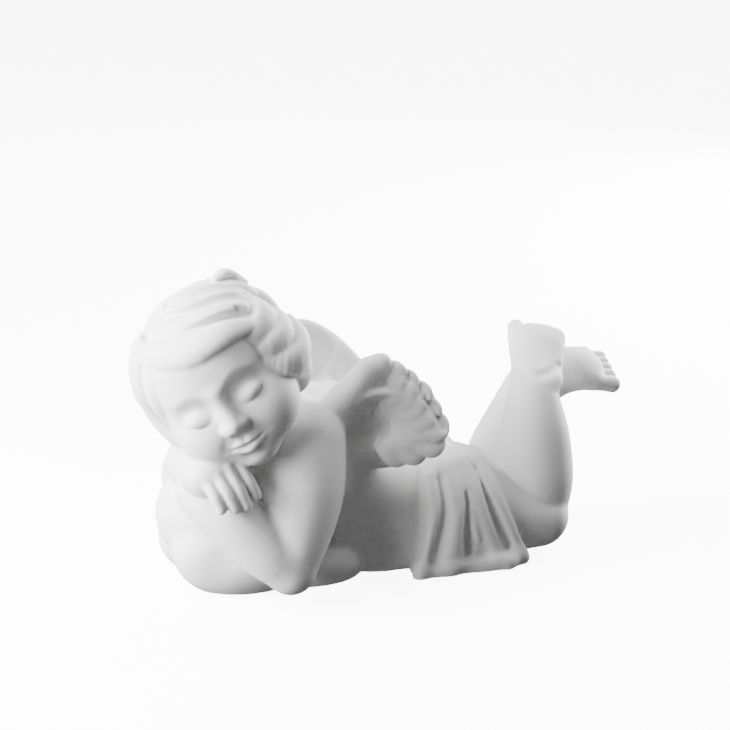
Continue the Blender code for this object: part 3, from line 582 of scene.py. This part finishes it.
def panel(side, x_top, x_foot, radius, top=27.0):
    """A part of the hanging cloth, as thick as its tube, from the hip to the ground."""
    stations = []
    for t in np.linspace(0, 1, 6):
        x = x_top + (x_foot - x_top) * t**1.5
        stations.append((*on_cloth(side, x, top * (1 - t), -radius), radius))
    return Tube(stations, blend=4)


def fold(side, places, depth):
    """A crease, or a ridge where the depth is negative; places are x, height and width."""
    return Stroke([(*on_cloth(side, x, z), width) for x, z, width in places], depth)


def cloth_side(side):
    """The cloth where it hangs from one hip to the ground, in folds."""
    s = side
    forms = [panel(s, 14, 11, 5), panel(s, 17.5, 16, 6), panel(s, 21, 22.5, 6), panel(s, 24, 30.5, 5),
             panel(s, 26, 33.4, 3.4)]
    forms.append(
        Tube([(7.0, s * 18.8, 1.5, 1.8), (14, s * 20.2, 1.6, 2.2), (22, s * 21.4, 1.4, 2.5),
              (28.5, s * 22.4, 1.5, 2.5), (33.5, s * 20.4, 2.2, 2.0)], blend=1.5)
    )
    forms += [
        fold(s, [(11.2, 25, 1.8), (10, 17, 1.9), (8, 9, 2.1), (6.2, 3, 2.4), (5.6, 0, 2.6)], -1.7),
        fold(s, [(16.6, 26, 2), (16.4, 18, 2.2), (15.2, 10, 2.4), (14.2, 3, 2.8)], -1.3),
        fold(s, [(21.4, 27, 1.6), (22.4, 20, 1.6), (24, 13, 1.6), (26.6, 6, 1.7), (28.4, 2, 1.8)], -1.6),
        fold(s, [(20.6, 16, 0.8), (21.0, 12, 0.9), (22, 8.6, 0.7)], -1.1),
        fold(s, [(24.8, 28, 1.1), (27.2, 21, 1.2), (30.4, 13, 1.3), (34, 6, 1.5), (36.4, 1.5, 1.8)], -1.7),
    ]
    return forms


def valleys(side):
    """The hollows between the folds, pressed into the cloth and the hip below it."""
    return [
        fold(side, [(13.6, 24, 1.5), (13, 17, 2.0), (11.6, 10, 2.3), (10.6, 5, 2.0)], 1.4),
        fold(side, [(19.4, 20, 1.2), (19.0, 14, 1.8), (18.9, 9, 1.9), (19.4, 6, 1.5)], 1.2),
        fold(side, [(23.4, 25, 1.1), (25.4, 18, 1.5), (28, 11, 1.7), (30.6, 6, 1.3)], 1.4),
    ]


def cloth():
    forms = [Ball((18.5, 0, 14), (11, 17, 16))]
    forms += cloth_side(-1)
    forms += cloth_side(1)
    forms.append(Stroke([(18, -24, 0, 2.4), (22, -24, 1.6, 2.4), (27, -24.4, 0.6, 2.2)], 1.8))
    return forms


NEAR_WING = Place((-7.4, -14.9, 43.2), z=(-0.22, -0.95, 0.2), y=(0, 0.2, 0.98))
FAR_WING = Place((-7.1, 14.5, 42.8), z=(-0.22, 0.95, 0.2), y=(0, -0.2, 0.98), mirrored=True)
# Each feather: its direction in degrees up from the feet, and its length from the fan's centre.
MAIN_FEATHERS = [(66, 16.6), (49, 16.4), (32, 17.2), (15, 18.7), (-2, 20.3), (-14, 22.4),
                 (-26, 22.4), (-39, 19.2), (-52, 16.2)]
COVER_FEATHERS = [(34, 12.4), (18, 14.4), (3, 16.0), (-10, 17.6), (-22, 17.8), (-34, 16), (-47, 13.6)]
# Where the far wing's feathers end, along its edge from the head's side to the feet's.
FAR_TIPS = [(-14.5, 21.3), (-10.7, 21.9), (-6.4, 21.0), (-2.6, 19.4), (0.8, 17.3), (4.0, 15.1), (6.9, 12.7),
            (9.5, 10.1), (11.8, 7.5), (13.8, 5.2), (15.6, 2.4), (16.2, -1.4), (15.2, -5.4), (12.6, -9)]
FAR_COVERS = [(9, -2), (6.5, 2.5), (3, 6.5), (-1, 10), (-6, 12.5)]
FAR_FAN_ROOT = np.array([-6.0, -3.0])


def feather(place, angle, inner, outer, radius, heights, lean=0.3, flat=0.32, point=1.0):
    """A feather in the wing's plane; heights are its lift at root, middle and tip."""
    a = math.radians(angle)
    along = np.array([math.cos(a), math.sin(a), 0])
    lead = np.array([-math.sin(a), math.cos(a), 0])
    normal = np.array([0, 0, 1.0]) + lean * lead
    stations = []
    for share, lift, width in zip((0, 0.5, 0.85, 1), (*heights, heights[-1]), (0.7, 0.9, 1, point)):
        p = along * (inner + share * (outer - point * radius - inner)) + [0, 0, lift]
        stations.append((*p, radius * width))
    return Tube(stations, place, 0.3, flat=flat, flat_to=("direction", normal @ place.axes()), steps=3)


def wing_arm(place):
    """The thick leading edge, from the shoulder up to the fan's first feather."""
    return [
        Tube([(-14, -5, -3, 5.6), (-10.3, -2.0, -1, 4.8), (-5.6, 2.6, 0.2, 4.0), (-1.0, 7.5, 0.4, 3.5),
              (1.9, 11.5, 0.4, 3.1)], place, 3),
    ]


def near_wing():
    """The near wing, its underside cupped below the arm that its feathers grow from."""
    w = NEAR_WING
    forms = [
        Ball((4.5, -1.2, -2.0), (15.5, 12.6, 2.6), w, 0.8),
        Ball((-3, -4.5, -2.2), (10.5, 8.5, 3.6), w, 2),
    ]
    for angle, length in MAIN_FEATHERS[1:]:
        forms.append(feather(w, angle, 2, length, 4.4, (-0.4, 0.1, 0.7)))
    for angle, length in COVER_FEATHERS:
        forms.append(feather(w, angle, 6, length, 3.2, (1.0, 1.3, 1.6), lean=0.2, flat=0.3, point=0.8))
    forms += [
        Stroke([(-2.5, -4, 1.6, 4.4), (1.5, -3.2, 1.8, 4.2), (4, -3.4, 1.8, 3.2)], 1.6, w),
        Stroke([(-6.5, -3, 0.4, 1.7), (-3.6, 0.4, 1.0, 1.8), (-0.4, 2.2, 1.2, 1.7), (3, 3, 1.2, 1.5)],
               1.5, w),
        Stroke([(10.4, 9.2, 0.8, 1.6), (13.0, 7.4, 0.8, 1.7), (15, 4.6, 0.8, 1.6)], 0.6, w),
        Stroke([(16, 2.6, 1.2, 1.3), (18.2, -1.2, 1.3, 1.3), (19.8, -4.8, 1.4, 1.3)], 0.7, w),
    ]
    angle, length = MAIN_FEATHERS[0]
    forms.append(feather(w, angle, 2, length, 2.6, (-0.2, 0.3, 0.4), flat=0.8))
    forms += wing_arm(w)
    forms.append(
        Tube([(-12, -3.5, -0.5, 2.6), (-7.6, -1.0, 0.8, 2.2), (-5.0, 2.0, 1.4, 2.1), (-1.6, 4.2, 1.7, 2.0),
              (1.6, 5.2, 1.7, 1.8), (5, 5.3, 1.5, 1.5), (9.6, 4.3, 1.2, 1.1)], w, 0.6)
    )
    return forms


def far_wing():
    """The far wing, seen from behind its feathers: a smooth fan with a row of covers."""
    w = FAR_WING
    forms = wing_arm(w)
    root, radius = FAR_FAN_ROOT, 5
    for x, y in FAR_TIPS:
        way = np.array([x, y]) - root
        tip = np.array([x, y]) - radius * unit_vector(way)
        middle = root + 0.5 * (tip - root)
        forms.append(
            Tube([(*root, -0.5, radius), (*middle, 0.6, radius), (*tip, 0.4, radius)], w, 1.5,
                 flat=0.42, flat_to=("direction", w.z))
        )
    for tips, lift in ((FAR_TIPS[1::2], 1.4), (FAR_COVERS, 2.3)):
        for x, y in tips:
            angle, length = math.degrees(math.atan2(y, x)), math.hypot(x, y) - 1
            forms.append(feather(w, angle, 0, length, 3.4, (lift, lift, lift - 0.3), flat=0.4))
    return forms


def figure():
    """All the forms of the figure, as one field."""
    body = Group(torso_and_thighs() + near_arm() + far_arm(), 3)
    return Group(
        [
            body,
            Group(far_forearm_and_hand(), 0.8),
            Group(near_calf(), 0.7),
            Group(far_calf(), 1.5),
            Group(near_foot(), 1.2),
            near_heel_crease(),
            Group(far_foot(), 1.2),
            Group(cloud(), 0.8),
            Group(cloth(), 0.8),
            *valleys(-1),
            *valleys(1),
            Group(far_wing(), 3.5),
            Group(near_wing(), 1.2),
            Group(skull_and_face(), 1.2),
            Group(hair(), 0.6),
        ],
        0.5,
    )


def lump_mesh(form):
    """The balls and beads of every form, as loose meshes in one."""
    bead = bpy.data.meshes.new("bead")
    shape = bmesh.new()
    bmesh.ops.create_icosphere(shape, subdivisions=2, radius=1)
    shape.to_mesh(bead)
    shape.free()
    lumps = bmesh.new()
    for centre, axes, radii in form.beads():
        turn = Matrix(axes.T.tolist()).to_4x4()
        if turn.determinant() < 0:
            turn = turn @ Matrix.Scale(-1, 4, Vector((1, 0, 0)))
        placed = bead.copy()
        placed.transform(Matrix.Translation(Vector(centre)) @ turn @ Matrix.Diagonal((*radii, 1)))
        lumps.from_mesh(placed)
        bpy.data.meshes.remove(placed)
    mesh = bpy.data.meshes.new("lumps")
    lumps.to_mesh(mesh)
    lumps.free()
    bpy.data.meshes.remove(bead)
    return mesh


def apply_modifiers(obj):
    """Replaces the object's mesh with the one that its modifiers make."""
    graph = bpy.context.evaluated_depsgraph_get()
    mesh = bpy.data.meshes.new_from_object(obj.evaluated_get(graph))
    obj.modifiers.clear()
    old, obj.data = obj.data, mesh
    bpy.data.meshes.remove(old)


def remesh(obj, voxel):
    """Takes one closed skin round all the loose lumps."""
    modifier = obj.modifiers.new("skin", "REMESH")
    modifier.mode = "VOXEL"
    modifier.voxel_size = voxel
    modifier.adaptivity = 0
    apply_modifiers(obj)


def settle(obj, form, rounds, even=0.4, press=0.9):
    """Moves each vertex along its normal on to the field, and evens out the spacing.

    In each round a vertex takes the share even of the way to its neighbours' middle, and the
    share press of the way to the field's surface.
    """
    mesh = obj.data
    count = len(mesh.vertices)
    ends = np.empty(len(mesh.edges) * 2, np.int32)
    mesh.edges.foreach_get("vertices", ends)
    here = np.concatenate([ends[::2], ends[1::2]])
    there = np.concatenate([ends[1::2], ends[::2]])
    degree = np.bincount(here, minlength=count)
    coordinates = np.empty(count * 3, np.float32)
    mesh.vertices.foreach_get("co", coordinates)
    points = coordinates.reshape(-1, 3).astype(float)
    normals = np.empty(count * 3, np.float32)
    for _ in range(rounds):
        mesh.vertices.foreach_set("co", points.astype(np.float32).ravel())
        mesh.update()
        mesh.vertex_normals.foreach_get("vector", normals)
        normal = normals.reshape(-1, 3).astype(float)
        middle = np.stack(
            [np.bincount(here, points[there, k], count) / degree for k in range(3)], axis=1
        )
        slide = middle - points
        slide -= (slide * normal).sum(1)[:, None] * normal
        offset = np.clip(form.distance(points), -UNIT, UNIT)
        points += even * slide - press * offset[:, None] * normal
    mesh.vertices.foreach_set("co", points.astype(np.float32).ravel())
    mesh.update()


def cut_flat(obj, near_ground=0.12 * UNIT):
    """Cuts the underside off flat at the ground and closes it."""
    bm = bmesh.new()
    bm.from_mesh(obj.data)
    for vertex in bm.verts:
        if abs(vertex.co.z) < near_ground:
            vertex.co.z = 0
    bmesh.ops.bisect_plane(
        bm, geom=bm.verts[:] + bm.edges[:] + bm.faces[:],
        plane_co=(0, 0, 0), plane_no=(0, 0, 1), clear_inner=True, dist=1e-7,
    )
    rim = [e for e in bm.edges if e.is_boundary]
    bmesh.ops.holes_fill(bm, edges=rim, sides=0)
    bmesh.ops.triangulate(bm, faces=bm.faces[:])
    bmesh.ops.recalc_face_normals(bm, faces=bm.faces[:])
    bm.to_mesh(obj.data)
    bm.free()


def thin_out(obj, triangles):
    """Drops triangles where the skin is smooth, down to the number given."""
    modifier = obj.modifiers.new("thin", "DECIMATE")
    obj.data.calc_loop_triangles()
    modifier.ratio = min(1.0, triangles / len(obj.data.loop_triangles))
    apply_modifiers(obj)


class Link:
    """A node's output that can be used in sums."""

    def __init__(self, nodes, socket):
        self.nodes = nodes
        self.socket = socket

    def sum(self, kind, first, second):
        return self.nodes.add("ShaderNodeMath", {"operation": kind}, first, second).out("Value")

    def __add__(self, other):
        return self.sum("ADD", self, other)

    def __radd__(self, other):
        return self.sum("ADD", other, self)

    def __sub__(self, other):
        return self.sum("SUBTRACT", self, other)

    def __rsub__(self, other):
        return self.sum("SUBTRACT", other, self)

    def __mul__(self, other):
        return self.sum("MULTIPLY", self, other)

    def __rmul__(self, other):
        return self.sum("MULTIPLY", other, self)


class Nodes:
    """Adds nodes to a material, and links or sets their sockets."""

    def __init__(self, material):
        self.tree = material.node_tree
        self.last = None

    def add(self, kind, settings=None, *values, **named):
        node = self.tree.nodes.new(kind)
        for name, value in (settings or {}).items():
            setattr(node, name, value)
        found = {s.identifier: s for s in node.inputs}
        plain = {s.name: s for s in reversed(node.inputs)}
        pairs = list(zip(node.inputs, values))
        pairs += [(found.get(name) or plain[name], value) for name, value in named.items()]
        for socket, value in pairs:
            if isinstance(value, Link):
                self.tree.links.new(value.socket, socket)
            else:
                socket.default_value = value
        self.last = node
        return self

    def out(self, name):
        node = self.last
        found = {s.identifier: s for s in node.outputs}
        socket = found.get(name) or node.outputs[name]
        return Link(self, socket)


def porcelain():
    """Unglazed white porcelain: matt, very fine-grained, a little uneven in tone."""
    material = bpy.data.materials.new("bisque_porcelain")
    material.use_nodes = True
    nodes = Nodes(material)
    place = nodes.add("ShaderNodeTexCoord").out("Object")
    noise, cells = "ShaderNodeTexNoise", "ShaderNodeTexVoronoi"
    grain = nodes.add(noise, Vector=place, Scale=1.6 / UNIT, Detail=4.0, Roughness=0.6).out("Fac")
    waves = nodes.add(noise, Vector=place, Scale=0.09 / UNIT, Detail=3.0, Roughness=0.5).out("Fac")
    pores = nodes.add(cells, {"feature": "F1"}, Vector=place, Scale=0.9 / UNIT).out("Distance")
    tone = nodes.add("ShaderNodeMix", {"data_type": "RGBA"}, Factor_Float=waves,
                     A_Color=(0.82, 0.82, 0.816, 1), B_Color=(0.87, 0.87, 0.868, 1)).out("Result_Color")
    shader = nodes.tree.nodes["Principled BSDF"]
    nodes.tree.links.new(tone.socket, shader.inputs["Base Color"])
    rough = 0.5 + 0.16 * grain + 0.06 * waves
    nodes.tree.links.new(rough.socket, shader.inputs["Roughness"])
    pore_radius = 0.12
    pit = nodes.add("ShaderNodeMath", {"operation": "LESS_THAN"}, pores, pore_radius).out("Value")
    height = grain - 0.8 * pit
    bump = nodes.add("ShaderNodeBump", Strength=0.22, Distance=0.05 * UNIT, Height=height).out("Normal")
    nodes.tree.links.new(bump.socket, shader.inputs["Normal"])
    shader.inputs["Specular IOR Level"].default_value = 0.35
    return material


def build():
    """The figure's skin: roughly round the lumps first, then finely on the field."""
    form = figure()
    obj = bpy.data.objects.new("porcelain_angel", lump_mesh(form))
    bpy.context.scene.collection.objects.link(obj)
    remesh(obj, COARSE_VOXEL)
    settle(obj, form, rounds=3)
    remesh(obj, SKIN_VOXEL)
    settle(obj, form, rounds=5)
    thin_out(obj, SKIN_TRIANGLES)
    cut_flat(obj)
    obj.data.materials.append(porcelain())
    obj.data.shade_smooth()
    return obj


def aim(obj, target):
    """Turns a lamp or the camera to face the target."""
    way = Vector(target) - obj.location
    obj.rotation_euler = way.to_track_quat("-Z", "Y").to_euler()


# Each lamp: azimuth and elevation in degrees from the figure, distance, size, watts and target.
# Azimuth 0 is the figure's left side, and positive azimuths turn towards its feet.
LAMPS = {
    "key": (-100, 14, 0.32, 0.2, 5.2, (-0.03, 0, 0.048)),
    "left": (-80, 12, 0.55, 0.35, 4.6, (0, 0, 0.035)),
    "back_right": (118, 14, 0.55, 0.35, 9.0, (0, 0, 0.035)),
    "right": (97, 43, 0.55, 0.35, 3.4, (0, 0, 0.035)),
    "high_left": (-100, 55, 0.25, 0.15, 1.0, (-0.02, 0, 0.05)),
}
SKY_STRENGTH = 0.13
FLOOR_SIZE = 3.0
FLOOR_GLOW = 9.0


def lamp(name, azimuth, elevation, distance, size, power, target):
    """A soft square lamp, placed by its direction from the figure."""
    data = bpy.data.lights.new(name, "AREA")
    data.shape = "SQUARE"
    data.size = size
    data.energy = power
    obj = bpy.data.objects.new(name, data)
    bpy.context.scene.collection.objects.link(obj)
    a, e = math.radians(azimuth), math.radians(elevation)
    way = Vector((math.sin(a) * math.cos(e), -math.cos(a) * math.cos(e), math.sin(e)))
    obj.location = Vector(target) + distance * way
    aim(obj, target)


def floor():
    """A plain pale floor, lit from below like a light table, which leaves the figure's shade deep."""
    bm = bmesh.new()
    bmesh.ops.create_grid(bm, x_segments=1, y_segments=1, size=FLOOR_SIZE)
    mesh = bpy.data.meshes.new("floor")
    bm.to_mesh(mesh)
    bm.free()
    obj = bpy.data.objects.new("floor", mesh)
    bpy.context.scene.collection.objects.link(obj)
    material = bpy.data.materials.new("pale_floor")
    material.use_nodes = True
    shader = material.node_tree.nodes["Principled BSDF"]
    shader.inputs["Base Color"].default_value = (0.93, 0.93, 0.93, 1)
    shader.inputs["Roughness"].default_value = 0.9
    shader.inputs["Specular IOR Level"].default_value = 0.1
    shader.inputs["Emission Color"].default_value = (1, 1, 1, 1)
    shader.inputs["Emission Strength"].default_value = FLOOR_GLOW
    mesh.materials.append(material)
    obj.visible_diffuse = False
    obj.visible_glossy = False
    obj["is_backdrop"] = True


def world():
    """A faint white sky, which fills the deepest shade."""
    sky = bpy.data.worlds.new("studio")
    sky.use_nodes = True
    background = sky.node_tree.nodes["Background"]
    background.inputs["Color"].default_value = (1, 1, 1, 1)
    background.inputs["Strength"].default_value = SKY_STRENGTH
    bpy.context.scene.world = sky


CAMERA_TARGET = Vector((0, 0, 0.052))
CAMERA_WAY = Vector((-0.408, -0.875, 0.259))
CAMERA_DISTANCE = 0.765
# The lens is set by the focal length in pixels of a square picture.
PICTURE_PIXELS = 730
FOCAL_PIXELS = 3000
SENSOR_WIDTH = 36
CLIP_START = 0.05


def camera():
    """Looks down 15 degrees on the figure's left side, from a little towards its head."""
    data = bpy.data.cameras.new("camera")
    data.sensor_width = SENSOR_WIDTH
    data.lens = FOCAL_PIXELS * SENSOR_WIDTH / PICTURE_PIXELS
    obj = bpy.data.objects.new("camera", data)
    bpy.context.scene.collection.objects.link(obj)
    obj.location = CAMERA_TARGET + CAMERA_DISTANCE * CAMERA_WAY
    aim(obj, CAMERA_TARGET)
    data.clip_start = CLIP_START
    bpy.context.scene.camera = obj


def main():
    cad_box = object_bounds()
    angel = build()
    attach(angel, "root")
    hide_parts("angel_statue")
    floor()
    world()
    camera()
    for name, setting in LAMPS.items():
        lamp(name, *setting)
    {"cad": plain(cad_box), "visual": plain(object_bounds())}


def plain(box):
    return [[float(v) for v in corner] for corner in box]


main()
